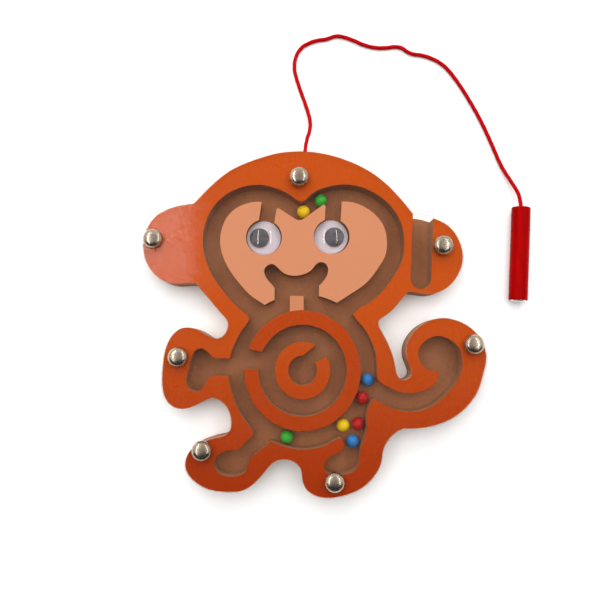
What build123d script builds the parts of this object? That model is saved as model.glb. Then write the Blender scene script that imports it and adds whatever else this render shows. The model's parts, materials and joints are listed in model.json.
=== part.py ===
from build123d import *

import os
from math import cos, radians, sin, tan

# A magnetic maze board in the shape of a monkey, lying on its back with the head towards +Y.
# Millimetres. The origin is the middle of the board's outline, on the face that it rests on.

# Board: a back board, a maze layer glued on it and a clear cover nailed over both
board_width = 143.6
board_height = 144.8
back_thickness = 3.0
maze_depth = 9.0
cover_thickness = 2.0
overrun = 2.0

# Steel beads and the channels that they roll in
bead_diameter = 5.6
bead_rise = 0.3
bead_play = 0.525
head_bead_play = 0.85

# The round maze in the belly: its rings are a little taller than wide
ring_wall = 6.05
inner_ring_wall = 5.7
ring_height_share = 1.035
chin_width = 6.2
chin_height = 6.2
neck_width = 18.6
brow_notch_radius = 3.0
brow_tip_radius = 0.8
heart_steps = 64
line_points = 2

# Googly eyes, each on a deep white back in a round pocket of the face
eye_diameter = 14.4
eye_pocket_clearance = 0.35
eye_lift = 0.15
eye_shift = 0.15
eye_back_thickness = 5.6
eye_flange_thickness = 0.5
eye_shell = 0.4
eye_dome_height = 3.2
eye_wall_height = 0.9
eye_dome_inset = 0.6
pupil_diameter = 8.2
pupil_thickness = 0.6
pupil_gap = 0.25

# Dome-headed nails
nail_head_diameter = 8.3
nail_head_height = 3.0
nail_rim = 0.4
nail_shank_diameter = 1.4
nail_length = 8.0
nail_point = 1.5
nail_clearance = 0.05

# Magnetic wand and its slot in the right ear
wand_diameter = 8.0
wand_length = 40.5
wand_slot_clearance = 0.35
wand_slot_length = 30.0
wand_edge = 0.5
magnet_diameter = 6.4
magnet_length = 6.0
magnet_proud = 0.6
magnet_edge = 0.8
magnet_clearance = 0.03

# Red cord from the head's top edge to the wand
cord_diameter = 1.7
cord_clearance = 0.1
cord_hole_depth = 6.0
wand_hole_depth = 3.0
arc_share = 0.45

# Heights worked out from the layers, and widths from the beads
maze_floor = back_thickness
maze_top = back_thickness + maze_depth
cover_top = maze_top + cover_thickness
channel_width = bead_diameter + 2 * bead_play
head_channel_width = bead_diameter + 2 * head_bead_play

# Outline of the board: shares of its width and height, from the middle, clockwise
head_top_shares = [
    (-0.354, 0.344), (-0.313, 0.387), (-0.244, 0.444), (-0.174, 0.475), (-0.104, 0.495),
    (-0.042, 0.500), (0.035, 0.492), (0.104, 0.471), (0.174, 0.435), (0.244, 0.373),
    (0.293, 0.312),
]
right_ear_shares = [
    (0.293, 0.312), (0.327, 0.309), (0.358, 0.299), (0.390, 0.283), (0.419, 0.251),
    (0.434, 0.214), (0.437, 0.183), (0.427, 0.146), (0.397, 0.104), (0.363, 0.084),
    (0.327, 0.079), (0.299, 0.083), (0.276, 0.086),
]
right_waist_shares = [
    (0.276, 0.086), (0.258, 0.066), (0.230, 0.034), (0.205, 0.014), (0.190, 0.003),
    (0.187, -0.008), (0.192, -0.022), (0.210, -0.055), (0.226, -0.094), (0.235, -0.131),
    (0.241, -0.156), (0.251, -0.167), (0.269, -0.166), (0.281, -0.153), (0.280, -0.137),
    (0.269, -0.108), (0.267, -0.079), (0.277, -0.050),
]
tail_shares = [
    (0.277, -0.050), (0.299, -0.022), (0.331, -0.001), (0.373, 0.009), (0.418, 0.001),
    (0.459, -0.022), (0.490, -0.062), (0.500, -0.104), (0.491, -0.148), (0.475, -0.196),
    (0.445, -0.240), (0.402, -0.275), (0.348, -0.297), (0.292, -0.306), (0.258, -0.306),
]
right_leg_shares = [
    (0.258, -0.306), (0.235, -0.317), (0.209, -0.344), (0.198, -0.368), (0.192, -0.403),
    (0.174, -0.437), (0.139, -0.471), (0.095, -0.491), (0.047, -0.500), (0.001, -0.493),
    (-0.024, -0.473), (-0.034, -0.446), (-0.038, -0.420), (-0.056, -0.401), (-0.088, -0.393),
]
left_leg_shares = [
    (-0.088, -0.393), (-0.114, -0.400), (-0.142, -0.428), (-0.174, -0.462), (-0.202, -0.479),
    (-0.244, -0.484), (-0.299, -0.477), (-0.344, -0.453), (-0.367, -0.420), (-0.365, -0.386),
    (-0.347, -0.360), (-0.313, -0.341), (-0.278, -0.331), (-0.253, -0.324), (-0.242, -0.312),
    (-0.238, -0.286), (-0.246, -0.254), (-0.269, -0.228), (-0.295, -0.219),
]
left_arm_shares = [
    (-0.295, -0.219), (-0.327, -0.233), (-0.362, -0.248), (-0.397, -0.248), (-0.426, -0.225),
    (-0.438, -0.186), (-0.438, -0.135), (-0.429, -0.076), (-0.408, -0.037), (-0.379, -0.019),
    (-0.348, -0.021), (-0.316, -0.036), (-0.288, -0.050), (-0.266, -0.045), (-0.252, -0.025),
    (-0.250, -0.003), (-0.266, 0.019), (-0.299, 0.057), (-0.342, 0.109),
]
left_ear_shares = [
    (-0.342, 0.109), (-0.369, 0.110), (-0.404, 0.108), (-0.441, 0.118), (-0.473, 0.145),
    (-0.494, 0.182), (-0.500, 0.218), (-0.496, 0.253), (-0.482, 0.286), (-0.457, 0.313),
    (-0.418, 0.332), (-0.383, 0.340), (-0.354, 0.344),
]
board_outline_shares = [
    head_top_shares, right_ear_shares, right_waist_shares, tail_shares, right_leg_shares,
    left_leg_shares, left_arm_shares, left_ear_shares,
]

# Outer walls of the maze, clockwise from the point between the two lobes of the forehead
right_lobe_shares = [
    (-0.036, 0.351), (-0.028, 0.353), (-0.018, 0.362), (0.004, 0.380), (0.042, 0.394),
    (0.090, 0.401), (0.142, 0.393), (0.192, 0.368), (0.232, 0.331), (0.258, 0.284),
    (0.266, 0.230), (0.259, 0.178), (0.232, 0.128), (0.195, 0.081), (0.153, 0.048),
]
right_neck_shares = [(0.153, 0.048), (0.121, 0.028), (0.114, 0.019)]
body_right_shares = [
    (0.114, 0.019), (0.120, 0.010), (0.141, -0.014), (0.163, -0.050), (0.178, -0.090),
    (0.182, -0.131), (0.183, -0.159),
]
tail_upper_shares = [
    (0.183, -0.159), (0.188, -0.171), (0.210, -0.186), (0.241, -0.201), (0.276, -0.206),
    (0.310, -0.201), (0.340, -0.188), (0.357, -0.167), (0.361, -0.150), (0.354, -0.142),
]
tail_pocket_shares = [
    (0.354, -0.142), (0.335, -0.141), (0.315, -0.127), (0.303, -0.099), (0.309, -0.073),
    (0.331, -0.051), (0.363, -0.043), (0.398, -0.055), (0.422, -0.079), (0.430, -0.115),
    (0.423, -0.155), (0.401, -0.190), (0.367, -0.224), (0.326, -0.250), (0.280, -0.259),
    (0.232, -0.251), (0.198, -0.237), (0.175, -0.226), (0.166, -0.228),
]
right_leg_pocket_shares = [
    (0.166, -0.228), (0.157, -0.247), (0.150, -0.269), (0.152, -0.299), (0.145, -0.331),
    (0.134, -0.362), (0.130, -0.393), (0.121, -0.421), (0.095, -0.434), (0.061, -0.437),
    (0.035, -0.429), (0.029, -0.410), (0.042, -0.389), (0.067, -0.375), (0.082, -0.365),
    (0.085, -0.346), (0.077, -0.333),
]
body_bottom_shares = [
    (0.077, -0.333), (0.065, -0.336), (0.035, -0.353), (0.000, -0.363), (-0.035, -0.366),
    (-0.077, -0.359), (-0.125, -0.343),
]
left_leg_pocket_shares = [
    (-0.125, -0.343), (-0.164, -0.374), (-0.187, -0.400), (-0.192, -0.421), (-0.210, -0.437),
    (-0.244, -0.441), (-0.274, -0.431), (-0.287, -0.404), (-0.276, -0.382), (-0.251, -0.368),
    (-0.220, -0.366), (-0.198, -0.346), (-0.178, -0.327), (-0.174, -0.319),
]
body_left_low_shares = [
    (-0.174, -0.319), (-0.184, -0.302), (-0.205, -0.275), (-0.226, -0.237), (-0.239, -0.199),
    (-0.247, -0.157),
]
arm_lower_edge_shares = [(-0.247, -0.157), (-0.292, -0.157)]
arm_pocket_shares = [
    (-0.292, -0.157), (-0.306, -0.166), (-0.317, -0.186), (-0.338, -0.201), (-0.359, -0.196),
    (-0.369, -0.175), (-0.363, -0.138), (-0.354, -0.102), (-0.341, -0.082), (-0.323, -0.079),
    (-0.305, -0.092), (-0.288, -0.106),
]
arm_upper_edge_shares = [(-0.288, -0.106), (-0.244, -0.107)]
body_left_high_shares = [
    (-0.244, -0.107), (-0.235, -0.077), (-0.221, -0.047), (-0.206, -0.021), (-0.191, 0.000),
    (-0.189, 0.010),
]
left_neck_shares = [(-0.189, 0.010), (-0.198, 0.022)]
left_lobe_shares = [
    (-0.198, 0.022), (-0.223, 0.041), (-0.258, 0.079), (-0.291, 0.124), (-0.316, 0.177),
    (-0.326, 0.230), (-0.320, 0.281), (-0.299, 0.330), (-0.262, 0.369), (-0.213, 0.393),
    (-0.160, 0.400), (-0.109, 0.389), (-0.064, 0.366), (-0.045, 0.353), (-0.036, 0.351),
]
maze_outline_shares = [
    right_lobe_shares, right_neck_shares, body_right_shares, tail_upper_shares,
    tail_pocket_shares, right_leg_pocket_shares, body_bottom_shares, left_leg_pocket_shares,
    body_left_low_shares, arm_lower_edge_shares, arm_pocket_shares, arm_upper_edge_shares,
    body_left_high_shares, left_neck_shares, left_lobe_shares,
]

# The face is the heart inside the head's channel, which would end in a tip below the chin
heart_right_edge_shares = [(0.153, 0.048), (-0.042, -0.076)]
heart_left_edge_shares = [(-0.042, -0.076), (-0.198, 0.022)]
heart_outline_shares = [
    right_lobe_shares, heart_right_edge_shares, heart_left_edge_shares, left_lobe_shares,
]
brow_notch_shares = [(-0.1165, 0.3393), (-0.0417, 0.2909), (0.0473, 0.3548)]
brow_tip_shares = [(-0.109, 0.335), (0.035, 0.346)]
brow_low_share = 0.280
brow_high_share = 0.400
mouth_shares = [
    (-0.115, 0.098), (-0.128, 0.112), (-0.143, 0.134), (-0.145, 0.150), (-0.136, 0.162),
    (-0.121, 0.166), (-0.109, 0.159), (-0.086, 0.139), (-0.056, 0.132), (-0.028, 0.137),
    (-0.004, 0.152), (0.007, 0.166), (0.020, 0.172), (0.036, 0.166), (0.042, 0.148),
    (0.035, 0.126), (0.015, 0.103),
]
mouth_floor_shares = [(0.015, 0.103), (-0.115, 0.098)]
mouth_outline_shares = [mouth_shares, mouth_floor_shares]

# Places in shares of the board's width and height
ring_center_shares = (-0.033, -0.1415)
belly_width_share = 0.4310
belly_height_share = 0.4392
chin_center_share = -0.050
neck_center_share = -0.050
neck_top_share = 0.104
eye_shares = {"left": (-0.1464, 0.2451), "right": (0.0527, 0.2478)}
eye_channel_turns = {"left": -9.0, "right": -3.7}
pupil_shares = {"left": -0.132, "right": 0.096}
nail_shares = {
    "top": (-0.043, 0.420), "left_ear": (-0.469, 0.238), "right_ear": (0.377, 0.219),
    "left_arm": (-0.392, -0.103), "left_leg": (-0.320, -0.367), "right_leg": (0.058, -0.454),
    "tail": (0.461, -0.067),
}
bead_shares = {
    "yellow_bead_head": (-0.0300, 0.3280), "green_bead_head": (0.0222, 0.3620),
    "red_bead_leg": (0.1300, -0.2970), "blue_bead_leg": (0.1142, -0.3467),
}
belly_bead_angles = {
    "blue_bead_side": -8.04, "red_bead_side": -24.11, "yellow_bead_belly": -52.77,
    "green_bead_belly": -103.60,
}
belly_bead_shares = {
    "blue_bead_side": 0.5294, "red_bead_side": 0.5101, "yellow_bead_belly": 0.5830,
    "green_bead_belly": 0.5442,
}
slot_end_share = (0.3134, 0.1236)
slot_turn = -2.9
cord_hole_share = -0.028
outer_gap_shares = [(-0.105, -0.100), (-0.240, -0.070), (-0.260, -0.132), (-0.105, -0.141)]
inner_gap_shares = [
    (-0.033, -0.1415), (-0.033, -0.101), (0.031, -0.046), (0.067, -0.080), (0.004, -0.120),
]

# The wand lies on the table beside the board, its corded end towards the head
wand_top = (90.5, 49.8)
wand_turn = 3.3

# The cord's route, from the bottom of its hole in the head to the bottom of the wand's hole
cord_route = [
    (-4.0, 66.2, 7.5), (-3.9, 76.2, 7.4), (-0.6, 86.6, 3.2), (-3.0, 96.2, 0.9),
    (-6.4, 105.4, 0.9), (-9.0, 115.0, 0.9), (-6.0, 123.4, 0.9), (0.8, 127.6, 0.9),
    (6.2, 126.5, 0.9), (10.6, 129.2, 0.9), (17.0, 127.4, 0.9), (23.6, 123.9, 0.9),
    (31.0, 122.7, 0.9), (38.9, 124.1, 0.9), (43.3, 120.2, 0.9), (49.8, 119.7, 0.9),
    (57.6, 116.2, 0.9), (63.2, 109.6, 0.9), (68.9, 100.4, 0.9), (74.6, 89.8, 0.9),
    (79.4, 78.6, 0.9), (83.0, 69.2, 0.9), (87.0, 61.8, 2.2), (90.75, 54.1, 4.0),
    (90.33, 46.81, 4.0),
]

os.makedirs("parts", exist_ok=True)


def on_board(share):
    """Turn shares of the board's width and height into a place on it."""
    return (share[0] * board_width, share[1] * board_height)


def outline_face(stretches):
    """Make the flat face inside a closed outline, given as stretches of shares."""
    with BuildSketch() as face:
        with BuildLine():
            for shares in stretches:
                points = [on_board(share) for share in shares]
                if len(points) == line_points:
                    Line(*points)
                else:
                    Spline(*points)
        make_face()
    return face.sketch


def finish(part, name):
    """Name a finished piece and write it."""
    part.label = name
    export_step(part, f"parts/{name}.step")


board_face = outline_face(board_outline_shares)
maze_face = outline_face(maze_outline_shares)
ring_center = on_board(ring_center_shares)
nail_places = {name: on_board(share) for name, share in nail_shares.items()}
nail_radius = nail_shank_diameter / 2
nail_hole_radius = nail_radius + nail_clearance
cord_hole_radius = cord_diameter / 2 + cord_clearance
belly_half_width = belly_width_share * board_width / 2
belly_half_height = belly_height_share * board_height / 2
ring_half_width = belly_half_width - channel_width
ring_half_height = belly_half_height - channel_width


# Back board: plain MDF, its top is the floor of every channel
with BuildPart() as back_board:
    with BuildSketch():
        add(board_face)
    extrude(amount=back_thickness)

finish(back_board.part, "back_board")


# Maze frame: the board's outline round the maze, with the wand's slot and the cord's hole
slot_width = wand_diameter + 2 * wand_slot_clearance
slot_end = on_board(slot_end_share)
cord_height = maze_floor + maze_depth / 2
cord_hole_x = cord_hole_share * board_width
pilot_depth = nail_length - cover_thickness + nail_clearance

with BuildPart() as maze_frame:
    with BuildSketch(Plane.XY.offset(maze_floor)):
        add(board_face)
        add(maze_face, mode=Mode.SUBTRACT)
        with Locations(Location((*slot_end, 0), (0, 0, slot_turn))):
            Circle(slot_width / 2, mode=Mode.SUBTRACT)
            Rectangle(
                slot_width,
                wand_slot_length + overrun,
                align=(Align.CENTER, Align.MIN),
                mode=Mode.SUBTRACT,
            )
    extrude(amount=maze_depth)
    with BuildSketch(Plane.XY.offset(maze_top)):
        with Locations(*nail_places.values()):
            Circle(nail_hole_radius)
    extrude(amount=-pilot_depth, mode=Mode.SUBTRACT)
    with BuildSketch(Plane.XZ.offset(-cord_route[0][1])):
        with Locations((cord_hole_x, cord_height)):
            Circle(cord_hole_radius)
    extrude(amount=-(cord_hole_depth + overrun), mode=Mode.SUBTRACT)

finish(maze_frame.part, "maze_frame")


# Face: a heart with round eye pockets, a channel up from each eye, a mouth and a neck
eye_places = {side: on_board(share) for side, share in eye_shares.items()}
eye_pocket_radius = eye_diameter / 2 + eye_pocket_clearance
heart_face = outline_face(heart_outline_shares)
heart_inside = offset(heart_face, amount=-head_channel_width, kind=Kind.ARC)
heart_edge = heart_inside.faces()[0].outer_wire()
heart_points = [heart_edge @ (step / heart_steps) for step in range(heart_steps)]
brow_notch = [on_board(share) for share in brow_notch_shares]
brow_modes = {brow_low_share: Mode.ADD, brow_high_share: Mode.SUBTRACT}

with BuildPart() as face_plate:
    with BuildSketch(Plane.XY.offset(maze_floor)) as face_sketch:
        with BuildLine():
            Spline(*heart_points, periodic=True)
        make_face()
        for level_share, mode in brow_modes.items():
            level = level_share * board_height
            with BuildLine():
                FilletPolyline(*brow_notch, radius=brow_notch_radius)
                Polyline(
                    brow_notch[-1],
                    (brow_notch[-1][0], level),
                    (brow_notch[0][0], level),
                    brow_notch[0],
                )
            make_face(mode=mode)
        for side, place in eye_places.items():
            with Locations(Location((*place, 0), (0, 0, eye_channel_turns[side]))):
                Circle(eye_pocket_radius, mode=Mode.SUBTRACT)
                Rectangle(
                    channel_width,
                    eye_diameter * 2,
                    align=(Align.CENTER, Align.MIN),
                    mode=Mode.SUBTRACT,
                )
        add(outline_face(mouth_outline_shares), mode=Mode.SUBTRACT)
        with Locations((neck_center_share * board_width, neck_top_share * board_height)):
            Rectangle(
                neck_width,
                board_height / 4,
                align=(Align.CENTER, Align.MAX),
                mode=Mode.SUBTRACT,
            )
        with Locations(ring_center):
            Ellipse(belly_half_width, belly_half_height, mode=Mode.SUBTRACT)
        for share in brow_tip_shares:
            tip = face_sketch.vertices().sort_by_distance((*on_board(share), 0))[0]
            fillet(tip, radius=brow_tip_radius)
    extrude(amount=maze_depth)

finish(face_plate.part, "face_plate")


# Outer ring wall, with the chin that stands on it
with BuildPart() as outer_ring_wall:
    with BuildSketch(Plane.XY.offset(maze_floor)):
        with Locations(ring_center):
            Ellipse(ring_half_width, ring_half_height)
        with Locations((chin_center_share * board_width, ring_center[1] + ring_half_height)):
            Rectangle(chin_width, 2 * chin_height)
        with Locations(ring_center):
            Ellipse(
                ring_half_width - ring_wall,
                ring_half_height - ring_wall * ring_height_share,
                mode=Mode.SUBTRACT,
            )
        outer_gap = [on_board(share) for share in outer_gap_shares]
        Polygon(*outer_gap, align=None, mode=Mode.SUBTRACT)
    extrude(amount=maze_depth)

finish(outer_ring_wall.part, "outer_ring_wall")


# Inner ring wall: a letter C in the middle of the belly
inner_half_width = ring_half_width - ring_wall - channel_width

with BuildPart() as inner_ring:
    with BuildSketch(Plane.XY.offset(maze_floor)):
        with Locations(ring_center):
            Ellipse(inner_half_width, inner_half_width * ring_height_share)
            Ellipse(
                inner_half_width - inner_ring_wall,
                (inner_half_width - inner_ring_wall) * ring_height_share,
                mode=Mode.SUBTRACT,
            )
        inner_gap = [on_board(share) for share in inner_gap_shares]
        Polygon(*inner_gap, align=None, mode=Mode.SUBTRACT)
    extrude(amount=maze_depth)

finish(inner_ring.part, "inner_ring_wall")


# Clear cover, of the board's own outline, with a hole for each nail
with BuildPart() as clear_cover:
    with BuildSketch(Plane.XY.offset(maze_top)):
        add(board_face)
        with Locations(*nail_places.values()):
            Circle(nail_hole_radius, mode=Mode.SUBTRACT)
    extrude(amount=cover_thickness)

finish(clear_cover.part, "clear_cover")


# Nails: a domed head on the cover and a pointed shank down into the frame
nail_head_radius = nail_head_diameter / 2

for name, place in nail_places.items():
    with BuildPart() as nail:
        with BuildSketch(Plane((*place, cover_top), x_dir=(1, 0, 0), z_dir=(0, -1, 0))):
            with BuildLine():
                Polyline((0, nail_head_height), (0, -nail_length), (nail_radius, nail_point - nail_length))
                Polyline((nail_radius, nail_point - nail_length), (nail_radius, 0), (nail_head_radius, 0))
                Line((nail_head_radius, 0), (nail_head_radius, nail_rim))
                Spline(
                    (nail_head_radius, nail_rim), (0, nail_head_height), tangents=[(0, 1), (-1, 0)]
                )
            make_face()
        revolve(axis=Axis((*place, 0), (0, 0, 1)))
    finish(nail.part, f"nail_{name}")


# Beads: painted steel balls, each in its own stretch of channel
bead_height = maze_floor + bead_rise + bead_diameter / 2

bead_places = {name: on_board(share) for name, share in bead_shares.items()}

for name, angle in belly_bead_angles.items():
    gap = belly_bead_shares[name] * channel_width
    across = (ring_half_width + gap) * cos(radians(angle))
    up = (ring_half_height + gap) * sin(radians(angle))
    bead_places[name] = (ring_center[0] + across, ring_center[1] + up)

for name, place in bead_places.items():
    with BuildPart() as bead:
        with Locations((*place, bead_height)):
            Sphere(bead_diameter / 2)
    finish(bead.part, name)


# Eyes: a white back, a loose black pupil and a clear domed shell with a flange
eye_radius = eye_diameter / 2
eye_back_top = maze_floor + eye_back_thickness
pupil_floor = eye_back_top + pupil_gap
dome_radius = eye_radius - eye_dome_inset

for side, pocket_place in eye_places.items():
    place = (pocket_place[0] - eye_shift, pocket_place[1] + eye_lift)
    with BuildPart() as eye_back:
        with BuildSketch(Plane.XY.offset(maze_floor)):
            with Locations(place):
                Circle(eye_radius)
        extrude(amount=eye_back_thickness)
    finish(eye_back.part, f"{side}_eye_back")

    with BuildPart() as pupil:
        with BuildSketch(Plane.XY.offset(pupil_floor)):
            with Locations((place[0] + pupil_shares[side] * eye_diameter, place[1])):
                Circle(pupil_diameter / 2)
        extrude(amount=pupil_thickness)
    finish(pupil.part, f"{side}_pupil")

    with BuildPart() as dome:
        with BuildSketch(Plane((*place, eye_back_top), x_dir=(1, 0, 0), z_dir=(0, -1, 0))):
            with BuildLine():
                Polyline(
                    (dome_radius - eye_shell, 0),
                    (eye_radius, 0),
                    (eye_radius, eye_flange_thickness),
                    (dome_radius, eye_flange_thickness),
                    (dome_radius, eye_wall_height),
                )
                TangentArc((0, eye_dome_height), (dome_radius, eye_wall_height), tangent=(1, 0))
                Line((0, eye_dome_height), (0, eye_dome_height - eye_shell))
                TangentArc(
                    (0, eye_dome_height - eye_shell),
                    (dome_radius - eye_shell, eye_wall_height),
                    tangent=(1, 0),
                )
                Line((dome_radius - eye_shell, eye_wall_height), (dome_radius - eye_shell, 0))
            make_face()
        revolve(axis=Axis((*place, 0), (0, 0, 1)))
    finish(dome.part, f"{side}_eye_dome")


# Wand: a red rod with a magnet in its free end and a hole for the cord in the other
wand_radius = wand_diameter / 2
wand_plane = Plane(
    (*wand_top, wand_radius),
    x_dir=Vector(1, 0, 0).rotate(Axis.Z, -wand_turn),
    z_dir=Vector(0, 1, 0).rotate(Axis.Z, -wand_turn),
)

with BuildPart() as wand_body:
    with BuildSketch(wand_plane):
        Circle(wand_radius)
    extrude(amount=-wand_length)
    chamfer(wand_body.edges().filter_by(GeomType.CIRCLE), wand_edge)
    with BuildSketch(wand_plane):
        Circle(cord_hole_radius)
    extrude(amount=-wand_hole_depth, mode=Mode.SUBTRACT)
    with BuildSketch(wand_plane.offset(-wand_length)):
        Circle(magnet_diameter / 2 + magnet_clearance)
    extrude(amount=magnet_length - magnet_proud, mode=Mode.SUBTRACT)

finish(wand_body.part, "wand_body")

with BuildPart() as wand_magnet:
    with BuildSketch(wand_plane.offset(-wand_length - magnet_proud)):
        Circle(magnet_diameter / 2)
    extrude(amount=magnet_length)
    magnet_face = wand_magnet.faces().sort_by(Axis.Y)[0]
    fillet(magnet_face.edges(), magnet_edge)

finish(wand_magnet.part, "wand_magnet")


def bend_radii(route):
    """Give each corner of a route the radius of the largest arc that its two runs allow."""
    radii = []
    for before, corner, after in zip(route, route[1:], route[2:]):
        first_run = Vector(*corner) - Vector(*before)
        second_run = Vector(*after) - Vector(*corner)
        half_turn = radians(first_run.get_angle(second_run)) / 2
        radii.append(arc_share * min(first_run.length, second_run.length) / tan(half_turn))
    return radii


# Cord: a tube along straight runs joined by arcs
radii = bend_radii(cord_route)

with BuildPart() as tether_cord:
    with BuildLine() as cord_line:
        FilletPolyline(*cord_route, radius=radii)
    with BuildSketch(Plane(cord_route[0], z_dir=cord_line.line @ 0.01 - cord_line.line @ 0)):
        Circle(cord_diameter / 2)
    sweep()

finish(tether_cord.part, "tether_cord")

cord_length = sum(edge.length for edge in cord_line.edges())
section = Circle(cord_diameter / 2, mode=Mode.PRIVATE).area
print("cord radii", [round(radius, 1) for radius in radii])
print("cord length", round(cord_length, 1), "volume", round(tether_cord.part.volume, 1))
print("section times length", round(section * cord_length, 1))
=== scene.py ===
"""Looks of a magnetic maze board in the shape of a monkey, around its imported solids.

The board lies on its back on a pale table with its head towards +Y. All sizes are in metres,
in the frame of the solids.
"""

from __future__ import annotations

import json
import logging
import math
from collections.abc import Callable
from dataclasses import dataclass, field
from enum import Enum

import bmesh
import bpy
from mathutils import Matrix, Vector, noise
from mathutils.bvhtree import BVHTree

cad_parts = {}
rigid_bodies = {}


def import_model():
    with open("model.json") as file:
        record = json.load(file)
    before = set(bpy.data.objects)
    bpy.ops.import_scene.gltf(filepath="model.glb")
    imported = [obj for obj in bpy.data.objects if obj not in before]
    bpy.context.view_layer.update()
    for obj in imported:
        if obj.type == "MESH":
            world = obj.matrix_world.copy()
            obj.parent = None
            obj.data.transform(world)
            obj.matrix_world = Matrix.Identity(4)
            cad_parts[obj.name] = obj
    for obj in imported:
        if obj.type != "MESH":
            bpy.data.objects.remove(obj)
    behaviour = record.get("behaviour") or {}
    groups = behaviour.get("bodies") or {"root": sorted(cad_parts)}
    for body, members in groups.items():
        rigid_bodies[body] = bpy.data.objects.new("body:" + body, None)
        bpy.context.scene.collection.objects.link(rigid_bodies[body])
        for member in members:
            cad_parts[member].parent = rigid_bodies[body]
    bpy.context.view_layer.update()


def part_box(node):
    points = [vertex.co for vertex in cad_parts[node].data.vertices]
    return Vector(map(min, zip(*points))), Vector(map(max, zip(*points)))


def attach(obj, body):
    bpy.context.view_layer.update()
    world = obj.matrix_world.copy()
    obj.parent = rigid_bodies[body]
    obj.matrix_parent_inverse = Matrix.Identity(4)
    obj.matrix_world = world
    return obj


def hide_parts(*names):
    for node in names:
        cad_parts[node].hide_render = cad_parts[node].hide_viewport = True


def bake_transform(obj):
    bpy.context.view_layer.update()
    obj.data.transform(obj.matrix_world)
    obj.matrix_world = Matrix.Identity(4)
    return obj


LOG = logging.getLogger("maze_board")
MM = 0.001
# Point mark that tells the board's outer sides from the channel walls, which get painted shade
OUTSIDE = "outside"

Color = tuple[float, float, float]
Point = tuple[float, float, float]
Range = tuple[float, float]

# Ranges that hold most values of a noise, and nearly all of them
MOST: Range = (0.30, 0.70)
NEARLY_ALL: Range = (0.25, 0.75)

# Points that are nearer than this are merged, and faces that turn by less are one
MERGE_GAP = 0.000004
FLAT_ANGLE = math.radians(0.4)

# Edges that turn by more are rounded, and edges that turn by less are shaded smooth
SHARP_ANGLE = math.radians(50.0)
SMOOTH_ANGLE = math.radians(35.0)
DOME_SMOOTH_ANGLE = math.radians(40.0)

# Places of a Mix node's two inputs and its output, by data type
MIX_SLOTS = {"RGBA": (6, 7, 2), "FLOAT": (2, 3, 0)}


class BeadColor(Enum):
    """The enamel colours of the beads, linear."""

    YELLOW = (0.82, 0.58, 0.001)
    GREEN = (0.042, 0.430, 0.042)
    BLUE = (0.025, 0.175, 0.520)
    RED = (0.420, 0.006, 0.008)


class Body(Enum):
    """The rigid bodies that pieces ride on."""

    BOARD = "board"
    WAND = "wand"


# Helpers for nodes


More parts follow.
